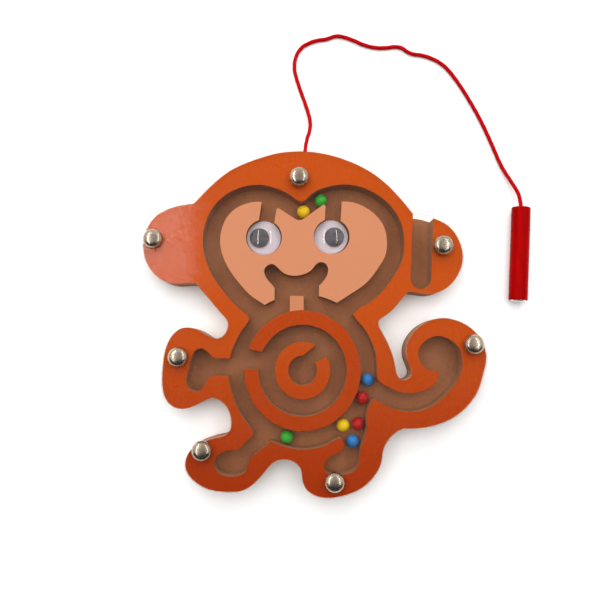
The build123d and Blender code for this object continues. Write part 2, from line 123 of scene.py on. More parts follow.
class Shader:
    """The node tree of a material or a world, built up node by node."""

    def __init__(self, name: str, world: bool = False) -> None:
        """Start an empty material or world.

        Args:
            name: Its name.
            world: Whether it is a world.
        """
        self.owner = (bpy.data.worlds if world else bpy.data.materials).new(name)
        self.owner.use_nodes = True
        self.tree = self.owner.node_tree
        self.tree.nodes.clear()
        self.output = self.node("OutputWorld" if world else "OutputMaterial")
        self.coords = self.node("TexCoord")

    def node(self, kind: str, **settings: object) -> bpy.types.Node:
        """Add a node.

        Args:
            kind: The node's type, without its ShaderNode prefix.
            settings: Properties of the node, or values of its inputs by their names.

        Returns:
            The new node.
        """
        made = self.tree.nodes.new(f"ShaderNode{kind}")
        for key, value in settings.items():
            if hasattr(made, key):
                setattr(made, key, value)
            else:
                made.inputs[key].default_value = value
        return made

    def link(self, source: bpy.types.NodeSocket, target: bpy.types.NodeSocket) -> None:
        """Join an output to an input."""
        self.tree.links.new(source, target)

    def feed(self, target: bpy.types.NodeSocket, value: object) -> None:
        """Give an input its value.

        Args:
            target: The input.
            value: An output to join to it, a colour or a number.
        """
        if isinstance(value, bpy.types.NodeSocket):
            self.link(value, target)
        else:
            target.default_value = (*value, 1.0) if isinstance(value, tuple) else value

    def noise(
        self,
        scale: float,
        detail: float = 2.0,
        stretch: Point = (1.0, 1.0, 1.0),
        distortion: float = 0.0,
    ) -> bpy.types.NodeSocket:
        """Add a noise texture on the object coordinates.

        Args:
            scale: How many features fit in a metre.
            detail: Octaves of finer noise.
            stretch: Scale of each axis before the noise.
            distortion: How much the noise is warped.

        Returns:
            The noise's value.
        """
        mapping = self.node("Mapping")
        mapping.inputs["Scale"].default_value = stretch
        self.link(self.coords.outputs["Object"], mapping.inputs["Vector"])
        texture = self.node("TexNoise", Scale=scale, Detail=detail, Distortion=distortion)
        self.link(mapping.outputs["Vector"], texture.inputs["Vector"])
        return texture.outputs["Fac"]

    def math(
        self,
        operation: str,
        first: bpy.types.NodeSocket | float,
        second: bpy.types.NodeSocket | float = 0.0,
    ) -> bpy.types.NodeSocket:
        """Add a Math node.

        Args:
            operation: The node's operation.
            first: Its first input, a socket or a number.
            second: Its second input, a socket or a number.

        Returns:
            The result's socket.
        """
        made = self.node("Math", operation=operation)
        for target, value in zip(made.inputs, (first, second)):
            self.feed(target, value)
        return made.outputs[0]

    def ramp(
        self,
        value: bpy.types.NodeSocket,
        low: float,
        high: float,
        start: float = 0.0,
        end: float = 1.0,
    ) -> bpy.types.NodeSocket:
        """Map a value smoothly from one range to another.

        Args:
            value: The socket to map.
            low: Value where the ramp starts.
            high: Value where the ramp ends.
            start: Result at low and below.
            end: Result at high and above.

        Returns:
            The mapped value's socket.
        """
        made = self.node("MapRange", interpolation_type="SMOOTHSTEP")
        self.link(value, made.inputs["Value"])
        made.inputs["From Min"].default_value = low
        made.inputs["From Max"].default_value = high
        made.inputs["To Min"].default_value = start
        made.inputs["To Max"].default_value = end
        return made.outputs["Result"]

    def blend(
        self,
        share: bpy.types.NodeSocket,
        first: bpy.types.NodeSocket | Color | float,
        second: bpy.types.NodeSocket | Color | float,
        kind: str = "RGBA",
    ) -> bpy.types.NodeSocket:
        """Mix two colours or two numbers.

        Args:
            share: How much of the second shows.
            first: A socket or a value.
            second: A socket or a value.
            kind: "RGBA" for colours and "FLOAT" for numbers.

        Returns:
            The result's socket.
        """
        made = self.node("Mix", data_type=kind)
        from_slot, to_slot, result = MIX_SLOTS[kind]
        self.link(share, made.inputs["Factor"])
        self.feed(made.inputs[from_slot], first)
        self.feed(made.inputs[to_slot], second)
        return made.outputs[result]

    def bump(
        self, height: bpy.types.NodeSocket, strength: float, distance: float
    ) -> bpy.types.NodeSocket:
        """Turn a height into a bumped normal.

        Args:
            height: The height's socket.
            strength: How strongly it shows, from 0 to 1.
            distance: The height of a full step, in metres.

        Returns:
            The normal's socket.
        """
        made = self.node("Bump", Strength=strength, Distance=distance)
        self.link(height, made.inputs["Height"])
        return made.outputs["Normal"]

    def part(self, coordinates: str, axis: str) -> bpy.types.NodeSocket:
        """Give one part of a set of coordinates.

        Args:
            coordinates: An output of the Texture Coordinate node, such as "Object" or "Normal".
            axis: "X", "Y" or "Z".

        Returns:
            The part's socket.
        """
        parts = self.node("SeparateXYZ")
        self.link(self.coords.outputs[coordinates], parts.inputs[0])
        return parts.outputs[axis]

    def principled(self, **values: object) -> bpy.types.Node:
        """Add the surface's Principled shader and join it to the output.

        Args:
            values: Values of its inputs, with underscores for spaces.

        Returns:
            The shader's node.
        """
        made = self.node("BsdfPrincipled")
        for key, value in values.items():
            made.inputs[key.replace("_", " ")].default_value = value
        self.link(made.outputs[0], self.output.inputs["Surface"])
        return made


# Finishes


@dataclass(frozen=True)
class PaintedMdf:
    """Fibre board with a printed coat of paint on its face and raw brown sides.

    Tilts are upward parts of the surface's normal, and scales are features in a metre.
    """

    name: str
    paint: Color
    paint_dark: Color
    # painted light: the paint turns lighter towards the head, where more light falls
    painted_lit_head: Color
    side: Color = (0.490, 0.290, 0.185)
    side_dark: Color = (0.360, 0.205, 0.125)
    # painted shade: the channel walls are darker than the outer sides of the same board
    wall: Color = (0.380, 0.195, 0.110)
    # partly the paint's own dark edge and partly painted shade along the rounded edge
    edge: Color = (0.240, 0.085, 0.030)
    fleck: Color = (0.80, 0.30, 0.10)
    pale_fibre: Color = (0.56, 0.38, 0.25)
    chin: Color | None = None
    edge_tilt: Range = (0.04, 0.30)
    face_tilt: Range = (0.80, 0.97)
    # painted light: the band of Y over which the paint lightens towards the head
    lit_fade: Range = (-0.085, 0.020)
    cloud_scale: float = 38.0
    fibre_scale: float = 1500.0
    fleck_scale: float = 2300.0
    layer_scale: float = 420.0
    grain_height: float = 0.06 * MM
    ring_middle: tuple[float, float] = (-4.739 * MM, -20.489 * MM)
    ring_reach: tuple[float, float] = (24.30 * MM, 25.15 * MM)
    ring_rim: Range = (0.997, 1.003)

    def build(self) -> bpy.types.Material:
        """Build the material.

        Returns:
            The material.
        """
        s = Shader(self.name)
        up = s.part("Normal", "Z")
        is_face = s.ramp(up, *self.face_tilt)
        is_edge = s.ramp(up, *self.edge_tilt)
        clouds = s.noise(self.cloud_scale, 3.0)
        fibres = s.noise(self.fibre_scale, 3.0, distortion=0.6)
        paint = s.blend(s.ramp(clouds, 0.30, 0.72), self.paint_dark, self.paint)
        # Painted light: the paint turns lighter towards the head, where more light falls.
        paint = s.blend(s.ramp(s.part("Object", "Y"), *self.lit_fade), paint, self.painted_lit_head)
        if self.chin is not None:
            paint = s.blend(self._chin_share(s), paint, self.chin)
        flecks = s.ramp(s.noise(self.fleck_scale, 1.0), 0.63, 0.78, 0.0, 0.12)
        paint = s.blend(flecks, paint, self.fleck)
        layers = s.noise(self.layer_scale, 3.0, (1.0, 1.0, 5.0))
        side = s.blend(s.ramp(layers, *MOST), self.side_dark, self.side)
        outside = s.node("Attribute", attribute_name=OUTSIDE)
        # Painted shade: walls inside the channels take the darker wall colour, the outer sides
        # keep theirs.
        side = s.blend(outside.outputs["Fac"], self.wall, side)
        side = s.blend(s.ramp(fibres, 0.58, 0.74, 0.0, 0.35), side, self.pale_fibre)
        # The rounded edge is dark brown, partly the paint's own edge and partly painted shade.
        color = s.blend(is_edge, side, self.edge)
        color = s.blend(is_face, color, paint)
        surface = s.principled(Specular_IOR_Level=0.03)
        s.link(color, surface.inputs["Base Color"])
        rough = s.ramp(fibres, *NEARLY_ALL, 0.48, 0.62)
        side_rough = s.ramp(layers, *NEARLY_ALL, 0.86, 0.96)
        s.link(s.blend(is_face, side_rough, rough, "FLOAT"), surface.inputs["Roughness"])
        height = s.math("ADD", fibres, s.math("MULTIPLY", layers, 0.6))
        s.link(s.bump(height, 0.35, self.grain_height), surface.inputs["Normal"])
        return s.owner

    def _chin_share(self, s: Shader) -> bpy.types.NodeSocket:
        """Mark what lies outside the ellipse of the ring's outer edge.

        Args:
            s: The shader that is being built.

        Returns:
            A socket that is 1 on the chin and 0 on the ring.
        """
        across, along = (
            s.math("DIVIDE", s.math("SUBTRACT", s.part("Object", axis), middle), reach)
            for axis, middle, reach in zip("XY", self.ring_middle, self.ring_reach)
        )
        squares = s.math("MULTIPLY", across, across), s.math("MULTIPLY", along, along)
        return s.ramp(s.math("ADD", *squares), *self.ring_rim)


@dataclass(frozen=True)
class RawMdf:
    """Unpainted brown fibre board, the floor of the channels."""

    name: str
    light: Color = (0.360, 0.148, 0.070)
    dark: Color = (0.285, 0.115, 0.054)
    pale_fibre: Color = (0.52, 0.30, 0.17)
    dark_fibre: Color = (0.20, 0.088, 0.042)
    cloud_scale: float = 60.0
    fibre_scale: float = 1400.0
    grain_height: float = 0.08 * MM

    def build(self) -> bpy.types.Material:
        """Build the material.

        Returns:
            The material.
        """
        s = Shader(self.name)
        clouds = s.noise(self.cloud_scale, 4.0)
        fibres = s.noise(self.fibre_scale, 4.0, (1.0, 1.0, 2.5), 0.8)
        color = s.blend(s.ramp(clouds, 0.28, 0.74), self.dark, self.light)
        color = s.blend(s.ramp(fibres, 0.56, 0.72, 0.0, 0.30), color, self.pale_fibre)
        color = s.blend(s.ramp(fibres, 0.44, 0.30, 0.0, 0.30), color, self.dark_fibre)
        surface = s.principled(Specular_IOR_Level=0.25)
        s.link(color, surface.inputs["Base Color"])
        s.link(s.ramp(fibres, *NEARLY_ALL, 0.74, 0.90), surface.inputs["Roughness"])
        s.link(s.bump(fibres, 0.35, self.grain_height), surface.inputs["Normal"])
        return s.owner


@dataclass(frozen=True)
class ClearSheet:
    """Clear plastic that mirrors a little, with cut edges that are frosted.

    The edges hide what is behind them by edge_cover, give or take edge_scatter. Dust is how
    far specks change the mirroring, and 0 leaves it even.
    """

    name: str
    ior: float = 1.25
    roughness: float = 0.11
    # partly the sheet's own warm tint and partly painted shade on what shows through it
    tint_and_shade: Color = (0.970, 0.955, 0.930)
    # frost on the cover's cut edges; on the eyes' shells it is a painted highlight on the upright
    # walls
    edge: Color = (0.62, 0.44, 0.34)
    edge_roughness: float = 0.45
    edge_cover: float = 0.22
    edge_scatter: float = 0.08
    dust: float = 1.00
    ripple: float = 0.08
    edge_tilt: Range = (0.85, 0.45)
    cut_scale: float = 900.0
    smear_scale: float = 500.0
    ripple_scale: float = 260.0
    speck_scale: float = 1400.0
    ripple_height: float = 0.04 * MM

    def build(self) -> bpy.types.Material:
        """Build the material.

        Returns:
            The material.
        """
        s = Shader(self.name)
        cut = s.noise(self.cut_scale, 2.0, (1.0, 1.0, 0.2))
        upright = s.ramp(s.math("ABSOLUTE", s.part("Normal", "Z")), *self.edge_tilt)
        low, high = self.edge_cover - self.edge_scatter, self.edge_cover + self.edge_scatter
        # Frost on the cover's cut edges; on the eyes' shells the same pale cover is a painted
        # highlight.
        frosted = s.math("MULTIPLY", upright, s.ramp(cut, *MOST, low, high))
        mirror = self._mirror_share(s)
        surface = s.node("BsdfPrincipled")
        s.link(s.blend(upright, (1.0, 1.0, 1.0), self.edge), surface.inputs["Base Color"])
        s.link(s.math("SUBTRACT", 1.0, upright), surface.inputs["Metallic"])
        smears = s.noise(self.smear_scale, 2.0)
        smooth = s.ramp(smears, *MOST, self.roughness * 0.7, self.roughness * 1.4)
        rough = s.math("MULTIPLY", upright, self.edge_roughness)
        s.link(s.math("MAXIMUM", smooth, rough), surface.inputs["Roughness"])
        ripples = s.noise(self.ripple_scale, 2.0)
        s.link(s.bump(ripples, self.ripple, self.ripple_height), surface.inputs["Normal"])
        # The tint is partly the sheet's own and partly painted shade on what shows through.
        through = s.node("BsdfTransparent", Color=(*self.tint_and_shade, 1.0))
        both = s.node("MixShader")
        s.link(s.math("MAXIMUM", mirror, frosted), both.inputs[0])
        s.link(through.outputs[0], both.inputs[1])
        s.link(surface.outputs[0], both.inputs[2])
        s.link(both.outputs[0], s.output.inputs["Surface"])
        return s.owner

    def _mirror_share(self, s: Shader) -> bpy.types.NodeSocket:
        """Give how much is mirrored, alike from outside and inside.

        Args:
            s: The shader that is being built.

        Returns:
            The share's socket.
        """
        side = s.node("NewGeometry")
        ior = s.node("MapRange")
        s.link(side.outputs["Backfacing"], ior.inputs["Value"])
        ior.inputs["To Min"].default_value = self.ior
        ior.inputs["To Max"].default_value = 1.0 / self.ior
        fresnel = s.node("Fresnel")
        s.link(ior.outputs["Result"], fresnel.inputs["IOR"])
        grain = s.noise(self.speck_scale, 1.0)
        specks = s.ramp(grain, 0.35, 0.65, 1.0 - self.dust, 1.0 + self.dust)
        return s.math("MULTIPLY", fresnel.outputs[0], specks)


@dataclass(frozen=True)
class Metal:
    """Plated steel, with faint pits and a slow change of colour."""

    name: str
    color: Color
    color_dark: Color
    roughness: float
    pits: float = 0.15
    cloud_scale: float = 260.0
    pit_scale: float = 1700.0
    pit_depth: float = 0.03 * MM

    def build(self) -> bpy.types.Material:
        """Build the material.

        Returns:
            The material.
        """
        s = Shader(self.name)
        clouds = s.noise(self.cloud_scale, 3.0)
        pits = s.noise(self.pit_scale, 3.0)
        color = s.blend(s.ramp(clouds, *MOST), self.color_dark, self.color)
        surface = s.principled(Metallic=1.0)
        s.link(color, surface.inputs["Base Color"])
        rough = s.ramp(pits, 0.3, 0.75, self.roughness * 0.8, self.roughness * 1.35)
        s.link(rough, surface.inputs["Roughness"])
        s.link(s.bump(pits, self.pits, self.pit_depth), surface.inputs["Normal"])
        return s.owner


@dataclass(frozen=True)
class Enamel:
    """A glossy coat of paint or plastic with a slight orange peel.

    Wear is how far the colour strays both ways, and streaks is how dark the lines along Y are.
    """

    name: str
    color: Color
    roughness: float = 0.22
    wear: float = 0.10
    coat: float = 0.25
    grain: float = 900.0
    specular: float = 0.5
    streaks: float = 0.0
    streak_scale: float = 420.0
    coat_roughness: float = 0.08
    peel_depth: float = 0.03 * MM

    def build(self) -> bpy.types.Material:
        """Build the material.

        Returns:
            The material.
        """
        s = Shader(self.name)
        clouds = s.noise(self.grain * 0.25, 3.0)
        peel = s.noise(self.grain, 2.0)
        dark = tuple(part * (1.0 - self.wear) for part in self.color)
        light = tuple(min(1.0, part * (1.0 + self.wear)) for part in self.color)
        surface = s.principled(
            Coat_Weight=self.coat,
            Coat_Roughness=self.coat_roughness,
            Specular_IOR_Level=self.specular,
        )
        color = s.blend(s.ramp(clouds, *MOST), dark, light)
        # Painted shade: darker lines along Y stand in for the shading bands of a round rod.
        if self.streaks:
            streak_shade = s.noise(self.streak_scale, 2.0, (1.0, 0.06, 1.0))
            shade = tuple(part * (1.0 - self.streaks) for part in dark)
            color = s.blend(s.ramp(streak_shade, 0.45, 0.70), color, shade)
        s.link(color, surface.inputs["Base Color"])
        rough = s.ramp(peel, *NEARLY_ALL, self.roughness * 0.8, self.roughness * 1.25)
        s.link(rough, surface.inputs["Roughness"])
        s.link(s.bump(peel, 0.10, self.peel_depth), surface.inputs["Normal"])
        return s.owner


@dataclass(frozen=True)
class BraidedCord:
    """Soft braided cord with a fuzzy surface."""

    name: str
    # dark is painted shade in the grooves between the braid's strands, light the strands' tops
    light: Color
    dark: Color
    sheen: Color = (1.0, 0.20, 0.20)
    fuzz_scale: float = 5200.0
    fuzz_depth: float = 0.1 * MM

    def build(self) -> bpy.types.Material:
        """Build the material.

        Returns:
            The material.
        """
        s = Shader(self.name)
        braid = s.node("Attribute", attribute_name="braid")
        fuzz = s.noise(self.fuzz_scale, 3.0)
        # Painted shade: the colour darkens where the skin sinks between strands.
        share = s.ramp(braid.outputs["Fac"], 0.10, 0.75)
        color = s.blend(share, self.dark, self.light)
        color = s.blend(s.ramp(fuzz, 0.5, 0.8, 0.0, 0.35), color, self.light)
        surface = s.principled(Specular_IOR_Level=0.1, Sheen_Weight=0.08, Sheen_Roughness=0.45)
        s.feed(surface.inputs["Sheen Tint"], self.sheen)
        s.link(color, surface.inputs["Base Color"])
        s.link(s.ramp(fuzz, *MOST, 0.78, 0.95), surface.inputs["Roughness"])
        s.link(s.bump(fuzz, 0.5, self.fuzz_depth), surface.inputs["Normal"])
        return s.owner


# Helpers for meshes


def deselect_all() -> None:
    """Leave object mode with nothing selected."""
    if bpy.context.object is not None and bpy.context.object.mode != "OBJECT":
        bpy.ops.object.mode_set(mode="OBJECT")
    bpy.ops.object.select_all(action="DESELECT")


def make_active(piece: bpy.types.Object) -> None:
    """Select a piece alone and make it active.

    Args:
        piece: The object to select.
    """
    deselect_all()
    piece.select_set(True)
    bpy.context.view_layer.objects.active = piece


def dress(piece: bpy.types.Object, material: bpy.types.Material) -> None:
    """Give a piece one material and nothing else.

    Args:
        piece: The object to dress.
        material: Its material.
    """
    if not piece.data.materials:
        piece.data.materials.append(material)
    for number in range(len(piece.data.materials)):
        piece.data.materials[number] = material


def pick(
    piece: bpy.types.Object,
    kind: str,
    wanted: Callable[[bmesh.types.BMFace | bmesh.types.BMEdge], bool],
) -> None:
    """Go into edit mode with only some faces or edges selected.

    Args:
        piece: The object to edit.
        kind: "FACE" or "EDGE".
        wanted: Says whether a face or an edge is selected.
    """
    make_active(piece)
    bpy.ops.object.mode_set(mode="EDIT")
    bpy.ops.mesh.select_mode(type=kind)
    bpy.ops.mesh.select_all(action="DESELECT")
    work = bmesh.from_edit_mesh(piece.data)
    for element in work.faces if kind == "FACE" else work.edges:
        element.select_set(wanted(element))
    bmesh.update_edit_mesh(piece.data)


def apply_modifier(piece: bpy.types.Object, kind: str, **settings: object) -> None:
    """Add a modifier to a piece and apply it.

    Args:
        piece: The object to change.
        kind: The modifier's type.
        settings: The modifier's properties.
    """
    make_active(piece)
    modifier = piece.modifiers.new(kind.title(), kind)
    for key, value in settings.items():
        setattr(modifier, key, value)
    bpy.ops.object.modifier_apply(modifier=modifier.name)


def light_only(lamp: str, piece: bpy.types.Object) -> None:
    """Let a lamp light one piece alone.

    Args:
        lamp: The lamp's name.
        piece: The only piece that it lights.
    """
    group = bpy.data.collections.new(f"lit_by_{lamp}")
    group.objects.link(piece)
    bpy.data.objects[lamp].light_linking.receiver_collection = group


def copy_of_node(node: str, name: str) -> bpy.types.Object:
    """Copy a node's mesh into a piece of its own, with its loose triangles merged.

    Args:
        node: The node's name.
        name: The new piece's name.

    Returns:
        The new object.
    """
    source = bpy.data.objects[node]
    mesh = source.data.copy()
    mesh.name = name
    piece = bpy.data.objects.new(name, mesh)
    bpy.context.scene.collection.objects.link(piece)
    make_active(piece)
    bpy.ops.object.mode_set(mode="EDIT")
    bpy.ops.mesh.select_all(action="SELECT")
    bpy.ops.mesh.remove_doubles(threshold=MERGE_GAP)
    bpy.ops.mesh.dissolve_limited(angle_limit=FLAT_ANGLE, delimit={"NORMAL"})
    bpy.ops.object.mode_set(mode="OBJECT")
    for layer in list(mesh.uv_layers):
        mesh.uv_layers.remove(layer)
    return piece


def round_edges(piece: bpy.types.Object, radius: float, segments: int = 2) -> None:
    """Round a piece's sharp edges and keep its flat faces flat.

    Args:
        piece: The object to change.
        radius: How wide the rounding is.
        segments: Steps across the rounding.
    """
    apply_modifier(
        piece,
        "BEVEL",
        width=radius,
        segments=segments,
        limit_method="ANGLE",
        angle_limit=SHARP_ANGLE,
        use_clamp_overlap=True,
    )
    make_active(piece)
    bpy.ops.object.shade_smooth_by_angle(angle=SMOOTH_ANGLE)
    apply_modifier(piece, "WEIGHTED_NORMAL", keep_sharp=True, weight=100)


def keep_inside(piece: bpy.types.Object, node: str) -> None:
    """Draw the points that stand out of a node's box back onto it.

    Args:
        piece: The piece that stands for the node.
        node: The node's name.
    """
    low, high = (Vector(corner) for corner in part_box(node))
    for vertex in piece.data.vertices:
        for axis in range(3):
            vertex.co[axis] = min(max(vertex.co[axis], low[axis]), high[axis])


# Sub-assemblies


@dataclass
class WoodLayers:
    """The back board, the maze layer, the face and the two ring walls."""

    edge_radius: float = 0.35 * MM
    back_edge_radius: float = 0.25 * MM
    outline_reach: float = 0.6 * MM
    orange: PaintedMdf = field(
        default_factory=lambda: PaintedMdf(
            # The third colour is painted light, the paint lighter towards the head.
            "orange_paint", (0.335, 0.029, 0.0004), (0.310, 0.026, 0.0003), (0.500, 0.074, 0.0025)
        )
    )
    ring_orange: PaintedMdf = field(
        default_factory=lambda: PaintedMdf(
            "ring_paint",
            (0.375, 0.038, 0.0004),
            (0.350, 0.034, 0.0003),
            # painted light: the paint lighter towards the head
            (0.430, 0.052, 0.0008),
            chin=(0.580, 0.236, 0.123),
        )
    )
    peach: PaintedMdf = field(
        default_factory=lambda: PaintedMdf(
            "peach_paint", (0.610, 0.262, 0.144), (0.580, 0.248, 0.136), (0.610, 0.262, 0.146)
        )
    )
    raw: RawMdf = field(default_factory=lambda: RawMdf("raw_board"))

    def build(self) -> list[bpy.types.Object]:
        """Copy the wooden nodes, round their edges and paint them.

        Returns:
            The new pieces.
        """
        orange, edge = self.orange.build(), self.edge_radius
        plan = (
            ("back_board", "back_panel", self.raw.build(), self.back_edge_radius, "back_mdf"),
            ("maze_frame", "maze_layer", orange, edge, "orange_mdf"),
            ("outer_ring_wall", "outer_ring", self.ring_orange.build(), edge, "orange_mdf"),
            ("inner_ring_wall", "inner_ring", orange, edge, "orange_mdf"),
            ("face_plate", "face_island", self.peach.build(), edge, "peach_mdf"),
        )
        pieces = []
        for node, name, material, radius, slot in plan:
            piece = copy_of_node(node, name)
            round_edges(piece, radius)
            keep_inside(piece, node)
            self._mark_outside(piece)
            dress(piece, material)
            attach(piece, Body.BOARD.value)
            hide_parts(node)
            pieces.append(piece)
        return pieces

    def _mark_outside(self, piece: bpy.types.Object) -> None:
        """Store on each point of a piece whether it lies on the board's outer outline.

        Args:
            piece: The piece to mark.
        """
        board = bpy.data.objects["back_board"].data
        skin = BVHTree.FromPolygons(
            [vertex.co for vertex in board.vertices], [face.vertices for face in board.polygons]
        )
        low, high = (Vector(corner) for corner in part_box("back_board"))
        # Points away from the outline get the channel walls' painted shade.
        marks = piece.data.attributes.new(OUTSIDE, "FLOAT", "POINT")
        for vertex in piece.data.vertices:
            spot = Vector((vertex.co.x, vertex.co.y, (low.z + high.z) / 2))
            distance = skin.find_nearest(spot)[3]
            marks.data[vertex.index].value = float(distance < self.outline_reach)


@dataclass
class ClearCover:
    """The clear sheet over the maze, with slightly rounded edges."""

    edge_radius: float = 0.15 * MM
    air_gap: float = 0.06 * MM
    finish: ClearSheet = field(default_factory=lambda: ClearSheet("clear_sheet"))

    def build(self) -> list[bpy.types.Object]:
        """Copy the cover's node, lift its underside off the paint and round its edges.

        Returns:
            The new piece.
        """
        piece = copy_of_node("clear_cover", "cover_sheet")
        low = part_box("clear_cover")[0][2]
        for vertex in piece.data.vertices:
            if vertex.co.z < low + self.air_gap:
                vertex.co.z = low + self.air_gap
        round_edges(piece, self.edge_radius)
        keep_inside(piece, "clear_cover")
        dress(piece, self.finish.build())
        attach(piece, Body.BOARD.value)
        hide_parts("clear_cover")
        light_only("left_panel", piece)
        return [piece]


@dataclass
class Nails:
    """The seven dome-headed nails."""

    finish: Metal = field(
        default_factory=lambda: Metal(
            "nail_plating", (0.60, 0.49, 0.39), (0.48, 0.39, 0.30), roughness=0.26, pits=0.10
        )
    )

    def build(self) -> list[bpy.types.Object]:
        """Dress the nails' nodes.

        Returns:
            The dressed nodes.
        """
        material = self.finish.build()
        pieces = [o for o in bpy.data.objects if o.name.startswith("nail_")]
        for piece in pieces:
            dress(piece, material)
        return pieces


@dataclass
class Beads:
    """The painted steel beads."""

    roughness: float = 0.30
    coat: float = 0.10
    specular: float = 0.30

    def build(self) -> list[bpy.types.Object]:
        """Dress each bead in its colour.

        Returns:
            The dressed nodes.
        """
        pieces = []
        for color in BeadColor:
            word = color.name.lower()
            material = Enamel(
                f"{word}_enamel",
                color.value,
                roughness=self.roughness,
                coat=self.coat,
                specular=self.specular,
            ).build()
            for piece in bpy.data.objects:
                if piece.name.startswith(f"{word}_bead"):
                    dress(piece, material)
                    pieces.append(piece)
        return pieces


@dataclass
class GooglyEyes:
    """Two googly eyes: white back, loose pupil and clear dome.

    Heights are above the flange's bottom, sides go round the shell, and rings up its dome.
    """

    white: Enamel = field(
        default_factory=lambda: Enamel(
            "eye_white", (0.66, 0.61, 0.73), roughness=0.35, wear=0.02, coat=0.1, grain=500.0
        )
    )
    pupil: Enamel = field(
        default_factory=lambda: Enamel(
            "pupil_black", (0.078, 0.072, 0.098), roughness=0.30, wear=0.2, coat=0.1, grain=700.0
        )
    )
    shell: ClearSheet = field(
        default_factory=lambda: ClearSheet(
            "eye_shell",
            ior=1.80,
            roughness=0.09,
            tint_and_shade=(1.0, 1.0, 1.0),
            # painted highlight: the shell's upright walls are half covered in pale lilac
            edge=(0.86, 0.80, 0.92),
            edge_cover=0.55,
            edge_scatter=0.10,
            dust=0.0,
            ripple=0.0,
        )
    )
    flange_radius: float = 7.2 * MM
    flange_height: float = 0.5 * MM
    wall_radius: float = 6.6 * MM
    wall_height: float = 0.9 * MM
    top_height: float = 3.2 * MM
    sides: int = 96
    rings: int = 24

    def build(self) -> list[bpy.types.Object]:
        """Make the shells and dress the backs and pupils.

        Returns:
            The shells and the dressed nodes.
        """
        pieces = []
        for ending, finish in {"eye_back": self.white, "pupil": self.pupil}.items():
            material = finish.build()
            for side in ("left", "right"):
                piece = bpy.data.objects[f"{side}_{ending}"]
                dress(piece, material)
                pieces.append(piece)
        material = self.shell.build()
        for side in ("left", "right"):
            shell = self._shell(side)
            dress(shell, material)
            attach(shell, Body.BOARD.value)
            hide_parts(f"{side}_eye_dome")
            pieces.append(shell)
        return pieces

    def _shell(self, side: str) -> bpy.types.Object:
        """Raise a circle ring by ring into the flange, the low wall and the dome.

        Args:
            side: Which eye, "left" or "right".

        Returns:
            The clear shell.
        """
        low, high = (Vector(corner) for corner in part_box(f"{side}_eye_dome"))
        middle = (low + high) / 2
        deselect_all()
        bpy.ops.mesh.primitive_circle_add(
            vertices=self.sides, radius=self.flange_radius, location=(middle.x, middle.y, low.z)
        )
        shell = bpy.context.object
        shell.name = shell.data.name = f"{side}_eye_shell"
        bpy.ops.object.transform_apply(location=True, rotation=True, scale=True)
        bpy.ops.object.mode_set(mode="EDIT")
        bpy.ops.mesh.select_all(action="SELECT")
        radius, height = self.flange_radius, 0.0
        for next_radius, next_height in self._profile():
            rise = (0.0, 0.0, next_height - height)
            bpy.ops.mesh.extrude_region_move(TRANSFORM_OT_translate={"value": rise})
            share = next_radius / radius
            bpy.ops.transform.resize(value=(share, share, 1.0))
            radius, height = next_radius, next_height
        rise = (0.0, 0.0, self.top_height - height)
        bpy.ops.mesh.extrude_region_move(TRANSFORM_OT_translate={"value": rise})
        bpy.ops.mesh.merge(type="CENTER")
        bpy.ops.mesh.select_all(action="SELECT")
        bpy.ops.mesh.normals_make_consistent(inside=False)
        bpy.ops.object.mode_set(mode="OBJECT")
        bpy.ops.object.shade_smooth_by_angle(angle=DOME_SMOOTH_ANGLE)
        return shell

    def _profile(self) -> list[tuple[float, float]]:
        """Give each ring's radius and height above the flange's bottom.

        Returns:
            The rings from the flange's rim to just short of the dome's top.
        """
        rise = self.top_height - self.wall_height
        bend = (self.wall_radius**2 + rise**2) / (2 * rise)
        reach = math.asin(self.wall_radius / bend)
        profile = [
            (self.flange_radius, self.flange_height),
            (self.wall_radius, self.flange_height),
            (self.wall_radius, self.wall_height),
        ]
        for ring in range(1, self.rings):
            angle = reach * (1.0 - ring / self.rings)
            profile.append(
                (bend * math.sin(angle), self.top_height - bend * (1.0 - math.cos(angle)))
            )
        return profile


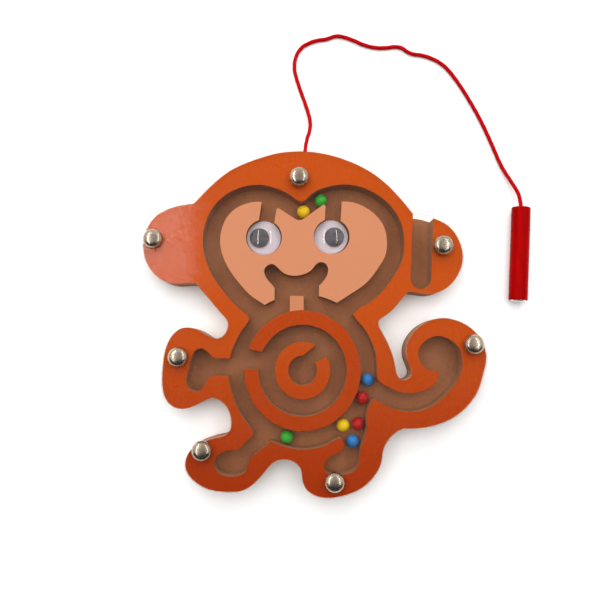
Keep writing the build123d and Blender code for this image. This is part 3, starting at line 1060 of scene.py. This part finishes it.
@dataclass
class Tether:
    """The red cord from the head's top edge to the wand.

    The cord follows the route; lift_start and lift_end are not used.
    """

    route: tuple[Point, ...] = (
        (-0.0040, 0.0662, 0.0075), (-0.0039, 0.0762, 0.0074), (-0.0006, 0.0866, 0.0032),
        (-0.0030, 0.0962, 0.0009), (-0.0064, 0.1054, 0.0009), (-0.0090, 0.1150, 0.0009),
        (-0.0062, 0.1230, 0.0009), (0.0006, 0.1265, 0.0009), (0.0062, 0.1270, 0.0009),
        (0.0106, 0.1290, 0.0009), (0.0170, 0.1272, 0.0009), (0.0236, 0.1239, 0.0009),
        (0.0310, 0.1227, 0.0009), (0.0389, 0.1241, 0.0009), (0.0433, 0.1202, 0.0009),
        (0.0498, 0.1197, 0.0009), (0.0576, 0.1162, 0.0009), (0.0632, 0.1096, 0.0009),
        (0.0689, 0.1004, 0.0009), (0.0746, 0.0898, 0.0009), (0.0794, 0.0786, 0.0009),
        (0.0830, 0.0692, 0.0009), (0.0870, 0.0618, 0.0022), (0.09075, 0.0541, 0.0040),
        (0.09033, 0.04681, 0.0040),
    )
    exit: Point = (-0.0040, 0.0724, 0.0075)
    lift_start: Point = (0.0120, 0.0500, 0.0)
    lift_end: Point = (0.0900, 0.0500, 0.0)
    diameter: float = 1.7 * MM
    around: int = 24
    step: float = 0.22 * MM
    strands: int = 6
    braid_pitch: float = 4.2 * MM
    braid_depth: float = 0.07 * MM
    wobble: float = 0.02 * MM
    wobble_scale: float = 900.0
    smoothness: int = 24
    finish: BraidedCord = field(
        default_factory=lambda: BraidedCord(
            # dark is painted shade between the strands
            "red_cord", light=(0.46, 0.0015, 0.004), dark=(0.30, 0.001, 0.003)
        )
    )

    def build(self) -> list[bpy.types.Object]:
        """Sweep a braided tube along the route's smooth line.

        Returns:
            The cord.
        """
        rings = self._even(self._line())
        mesh = bpy.data.meshes.new("cord")
        piece = bpy.data.objects.new("cord", mesh)
        bpy.context.scene.collection.objects.link(piece)
        self._tube(mesh, rings)
        dress(piece, self.finish.build())
        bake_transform(piece)
        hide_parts("tether_cord")
        return [piece]

    def _line(self) -> list[Vector]:
        """Read points from a NURBS spline on the route.

        Returns:
            Points on the smooth line, from the head to the wand.
        """
        curve = bpy.data.curves.new("cord_line", "CURVE")
        curve.dimensions = "3D"
        curve.resolution_u = self.smoothness
        spline = curve.splines.new("NURBS")
        spline.points.add(len(self.route) - 1)
        for point, place in zip(spline.points, self.route):
            point.co = (*place, 1.0)
        spline.order_u = 3
        spline.use_endpoint_u = True
        guide = bpy.data.objects.new("cord_line", curve)
        bpy.context.scene.collection.objects.link(guide)
        bpy.context.view_layer.update()
        mesh = bpy.data.meshes.new_from_object(guide)
        points = [vertex.co.copy() for vertex in mesh.vertices]
        bpy.data.objects.remove(guide)
        bpy.data.meshes.remove(mesh)
        return points

    def _even(self, line: list[Vector]) -> list[Vector]:
        """Space points evenly along a line.

        Args:
            line: The line's points.

        Returns:
            Points one step apart, with the line's two ends.
        """
        lengths = [0.0]
        for a, b in zip(line, line[1:]):
            lengths.append(lengths[-1] + (b - a).length)
        count = int(lengths[-1] / self.step)
        made, place = [], 0
        for number in range(count + 1):
            target = lengths[-1] * number / count
            while place < len(line) - 2 and lengths[place + 1] < target:
                place += 1
            run = max(lengths[place + 1] - lengths[place], 1e-9)
            made.append(line[place].lerp(line[place + 1], (target - lengths[place]) / run))
        return made

    def _tube(self, mesh: bpy.types.Mesh, rings: list[Vector]) -> None:
        """Build the tube's skin, raised where a strand of the braid passes.

        Args:
            mesh: The mesh to fill.
            rings: The middles of the tube's rings.
        """
        work = bmesh.new()
        braid = work.verts.layers.float.new("braid")
        side = Vector((1.0, 0.0, 0.0))
        each_way = self.strands / 2
        run = 0.0
        loops = []
        for number, middle in enumerate(rings):
            ahead = rings[min(number + 1, len(rings) - 1)] - rings[max(number - 1, 0)]
            ahead.normalize()
            side = (side - ahead * side.dot(ahead)).normalized()
            over = ahead.cross(side)
            if number:
                run += (middle - rings[number - 1]).length
            turn = 2.0 * math.pi * run / self.braid_pitch
            loop = []
            for part in range(self.around):
                angle = 2.0 * math.pi * part / self.around
                right = 0.5 + 0.5 * math.cos(each_way * (angle + turn / each_way))
                left = 0.5 + 0.5 * math.cos(each_way * (angle - turn / each_way))
                rise = max(right, left)
                radius = self.diameter / 2 - self.braid_depth * (1.0 - rise)
                spot = middle * self.wobble_scale + Vector((angle, 0.0, 0.0))
                radius += noise.noise(spot) * self.wobble
                out = side * math.cos(angle) + over * math.sin(angle)
                vertex = work.verts.new(middle + out * radius)
                # The rise also sets the painted shade between the strands in the cord's material.
                vertex[braid] = rise
                loop.append(vertex)
            loops.append(loop)
        for first, second in zip(loops, loops[1:]):
            for part in range(self.around):
                after = (part + 1) % self.around
                work.faces.new((first[part], first[after], second[after], second[part]))
        work.faces.new(tuple(reversed(loops[0])))
        work.faces.new(tuple(loops[-1]))
        bmesh.ops.recalc_face_normals(work, faces=work.faces)
        for face in work.faces:
            face.smooth = True
        work.to_mesh(mesh)
        work.free()


@dataclass
class Wand:
    """The red wand: a rod with a hole for the cord and a magnet in its other end.

    Top is the middle of its end at the cord, and turn is in degrees. Sides go round the rod,
    and rings along it. Facing, long_share and skin_share tell its ends, its lengthwise edges
    and its outer skin from the rest.
    """

    top: Point = (90.5 * MM, 49.8 * MM, 4.0 * MM)
    turn: float = 3.3
    length: float = 40.5 * MM
    radius: float = 4.0 * MM
    hole_radius: float = 0.95 * MM
    hole_depth: float = 3.0 * MM
    pocket_radius: float = 3.23 * MM
    pocket_depth: float = 5.4 * MM
    rim_radius: float = 0.40 * MM
    sides: int = 96
    rings: int = 80
    seam_ring: int = 37
    seam_width_share: float = 0.6
    seam_depth: float = 0.06 * MM
    waves: float = 0.02 * MM
    wave_scale: float = 160.0
    chips: float = 0.22 * MM
    chip_scale: float = 1500.0
    rim_segments: int = 3
    facing: float = 0.99
    long_share: float = 0.9
    skin_share: float = 0.99
    finish: Enamel = field(
        default_factory=lambda: Enamel(
            "wand_red",
            (0.36, 0.0002, 0.0003),
            roughness=0.34,
            wear=0.10,
            coat=0.0,
            grain=500.0,
            specular=0.03,
            # painted shade: darker lines along the rod
            streaks=0.25,
        )
    )
    magnet: Metal = field(
        default_factory=lambda: Metal(
            "magnet_plating", (0.74, 0.73, 0.71), (0.58, 0.57, 0.55), roughness=0.22
        )
    )

    def build(self) -> list[bpy.types.Object]:
        """Make the rod and dress the magnet.

        Returns:
            The rod and the dressed magnet.
        """
        rod = self._rod()
        self._wear(rod)
        round_edges(rod, self.rim_radius, self.rim_segments)
        dress(rod, self.finish.build())
        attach(rod, Body.WAND.value)
        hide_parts("wand_body")
        magnet = bpy.data.objects["wand_magnet"]
        dress(magnet, self.magnet.build())
        return [rod, magnet]

    def _axis(self) -> Vector:
        """Give the direction from the magnet to the cord."""
        angle = math.radians(self.turn)
        return Vector((math.sin(angle), math.cos(angle), 0.0))

    def _rod(self) -> bpy.types.Object:
        """Turn a cylinder into the rod, sunk at both ends and ringed along its length.

        Returns:
            The rod.
        """
        axis = self._axis()
        deselect_all()
        bpy.ops.mesh.primitive_cylinder_add(
            vertices=self.sides,
            radius=self.radius,
            depth=self.length,
            location=Vector(self.top) - axis * self.length / 2,
            rotation=(-math.pi / 2, 0.0, -math.radians(self.turn)),
        )
        rod = bpy.context.object
        rod.name = rod.data.name = "wand_rod"
        bpy.ops.object.transform_apply(location=True, rotation=True, scale=True)
        for way, radius, depth in (
            (axis, self.hole_radius, self.hole_depth),
            (-axis, self.pocket_radius, self.pocket_depth),
        ):
            pick(rod, "FACE", lambda cap: cap.normal.dot(way) > self.facing and len(cap.verts) > 4)
            bpy.ops.mesh.inset(thickness=self.radius - radius)
            bpy.ops.mesh.extrude_region_move(TRANSFORM_OT_translate={"value": -way * depth})
            bpy.ops.object.mode_set(mode="OBJECT")
        pick(rod, "EDGE", lambda edge: edge.calc_length() > self.long_share * self.length)
        bpy.ops.mesh.subdivide(number_cuts=self.rings)
        bpy.ops.object.mode_set(mode="OBJECT")
        return rod

    def _wear(self, rod: bpy.types.Object) -> None:
        """Press in the seam, wave the skin a little and chip the rim round the magnet.

        Args:
            rod: The rod.
        """
        axis, top = self._axis(), Vector(self.top)
        pitch = self.length / (self.rings + 1)
        for vertex in rod.data.vertices:
            along = (top - vertex.co).dot(axis)
            out = vertex.co - (top - axis * along)
            if out.length < self.skin_share * self.radius:
                continue
            sink = self.waves * (0.5 + 0.5 * noise.noise(vertex.co * self.wave_scale))
            if abs(along - self.seam_ring * pitch) < self.seam_width_share / 2 * pitch:
                sink += self.seam_depth
            vertex.co -= out.normalized() * sink
            if along > self.length - 0.5 * pitch:
                vertex.co += axis * self.chips * max(0.0, noise.noise(out * self.chip_scale))


# Studio


@dataclass(frozen=True)
class Softbox:
    """A soft rectangular lamp above the table, tilted towards -Y by its tilt in degrees."""

    name: str
    place: Point
    width: float
    length: float
    radiance: float
    tilt: float = 0.0
    mirrored: bool = True

    def build(self) -> None:
        """Hang the lamp."""
        data = bpy.data.lights.new(self.name, "AREA")
        data.shape = "RECTANGLE"
        data.size = self.width
        data.size_y = self.length
        data.energy = self.radiance * math.pi * self.width * self.length
        lamp = bpy.data.objects.new(self.name, data)
        lamp.location = self.place
        lamp.rotation_euler = (-math.radians(self.tilt), 0.0, 0.0)
        lamp.visible_glossy = self.mirrored
        bpy.context.scene.collection.objects.link(lamp)


@dataclass
class Studio:
    """Camera, pale floor, dim room and soft lamps.

    The room's ranges are parts of the direction that one looks in, up for the zenith and the
    horizon and along Y for the feet. The left panel lights the clear cover alone.
    """

    camera_place: Point = (-5.8 * MM, -12.0 * MM, 292.0 * MM)
    camera_tilt: float = 4.27
    focal_share: float = 670.0 / 600.0
    sensor: float = 36.0
    clip: Range = (0.01, 20.0)
    floor_size: float = 6.0
    floor_color: Color = (0.80, 0.80, 0.80)
    room_color: Color = (1.0, 0.985, 0.965)
    room_level: float = 0.72
    zenith_level: float = 0.40
    feet_level: float = 0.03
    zenith: Range = (0.70, 0.965)
    horizon: Range = (0.05, 0.25)
    feet: Range = (-0.08, -0.30)
    lamps: tuple[Softbox, ...] = (
        Softbox("left_strip", (-0.45, 0.24, 0.74), width=0.08, length=1.05, radiance=8.5),
        Softbox("right_strip", (0.42, 0.24, 0.74), width=0.06, length=1.05, radiance=9.0),
        Softbox("left_panel", (-0.30, 0.49, 0.80), width=0.24, length=0.84, radiance=4.6),
        Softbox(
            "head_panel",
            (0.0, 0.80, 0.60),
            width=1.20,
            length=0.50,
            radiance=2.6,
            tilt=50.0,
            mirrored=False,
        ),
        Softbox(
            "top_panel",
            (-0.05, 0.16, 0.95),
            width=0.80,
            length=0.80,
            radiance=2.30,
            mirrored=False,
        ),
    )

    def build(self) -> None:
        """Make the camera first, then the floor, the room and the lamps."""
        self._camera()
        self._floor()
        self._room()
        for lamp in self.lamps:
            lamp.build()
        bpy.context.scene.view_settings.view_transform = "Standard"

    def _camera(self) -> None:
        """Put the camera above the board, tilted a little towards the head."""
        data = bpy.data.cameras.new("camera")
        data.sensor_width = self.sensor
        data.lens = self.sensor * self.focal_share
        data.clip_start, data.clip_end = self.clip
        camera = bpy.data.objects.new("camera", data)
        camera.location = self.camera_place
        camera.rotation_euler = (math.radians(self.camera_tilt), 0.0, 0.0)
        bpy.context.scene.collection.objects.link(camera)
        bpy.context.scene.camera = camera

    def _floor(self) -> None:
        """Lay a wide floor that is seen as white and lights what is near it as pale grey."""
        deselect_all()
        bpy.ops.mesh.primitive_plane_add(size=self.floor_size, location=(0.0, 0.0, 0.0))
        floor = bpy.context.object
        floor.name = "floor"
        s = Shader("pale_floor")
        seen = s.node("LightPath")
        surface = s.principled(Roughness=0.8, Specular_IOR_Level=0.0)
        direct = s.math("MAXIMUM", seen.outputs["Is Camera Ray"], seen.outputs["Is Glossy Ray"])
        share = s.math("MAXIMUM", direct, seen.outputs["Is Transmission Ray"])
        white = s.blend(share, self.floor_color, (1.0, 1.0, 1.0))
        s.link(white, surface.inputs["Base Color"])
        dress(floor, s.owner)

    def _room(self) -> None:
        """Surround the table with a dim room, dimmer overhead and dark high beyond the feet."""
        s = Shader("room", world=True)
        bpy.context.scene.world = s.owner
        up = s.part("Generated", "Z")
        dome = s.blend(s.ramp(up, *self.zenith), self.room_level, self.zenith_level, "FLOAT")
        past_feet = s.ramp(s.part("Generated", "Y"), *self.feet)
        dark = s.blend(past_feet, 0.0, s.ramp(up, *self.horizon), "FLOAT")
        dome = s.blend(dark, dome, self.feet_level, "FLOAT")
        seen = s.node("LightPath")
        light = s.node("Background", Color=(*self.room_color, 1.0))
        shown = s.blend(seen.outputs["Is Camera Ray"], dome, 1.0, "FLOAT")
        s.link(shown, light.inputs["Strength"])
        s.link(light.outputs[0], s.output.inputs["Surface"])


def main() -> None:
    """Build the studio, then each sub-assembly, and report the pieces."""
    logging.basicConfig(level=logging.INFO, format="%(name)s: %(message)s")
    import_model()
    Studio().build()
    parts = (Tether(), WoodLayers(), ClearCover(), Nails(), Beads(), GooglyEyes(), Wand())
    for part in parts:
        for piece in part.build():
            LOG.info("%s: %s, %d faces", type(part).__name__, piece.name, len(piece.data.polygons))
    deselect_all()


if __name__ == "__main__":
    main()
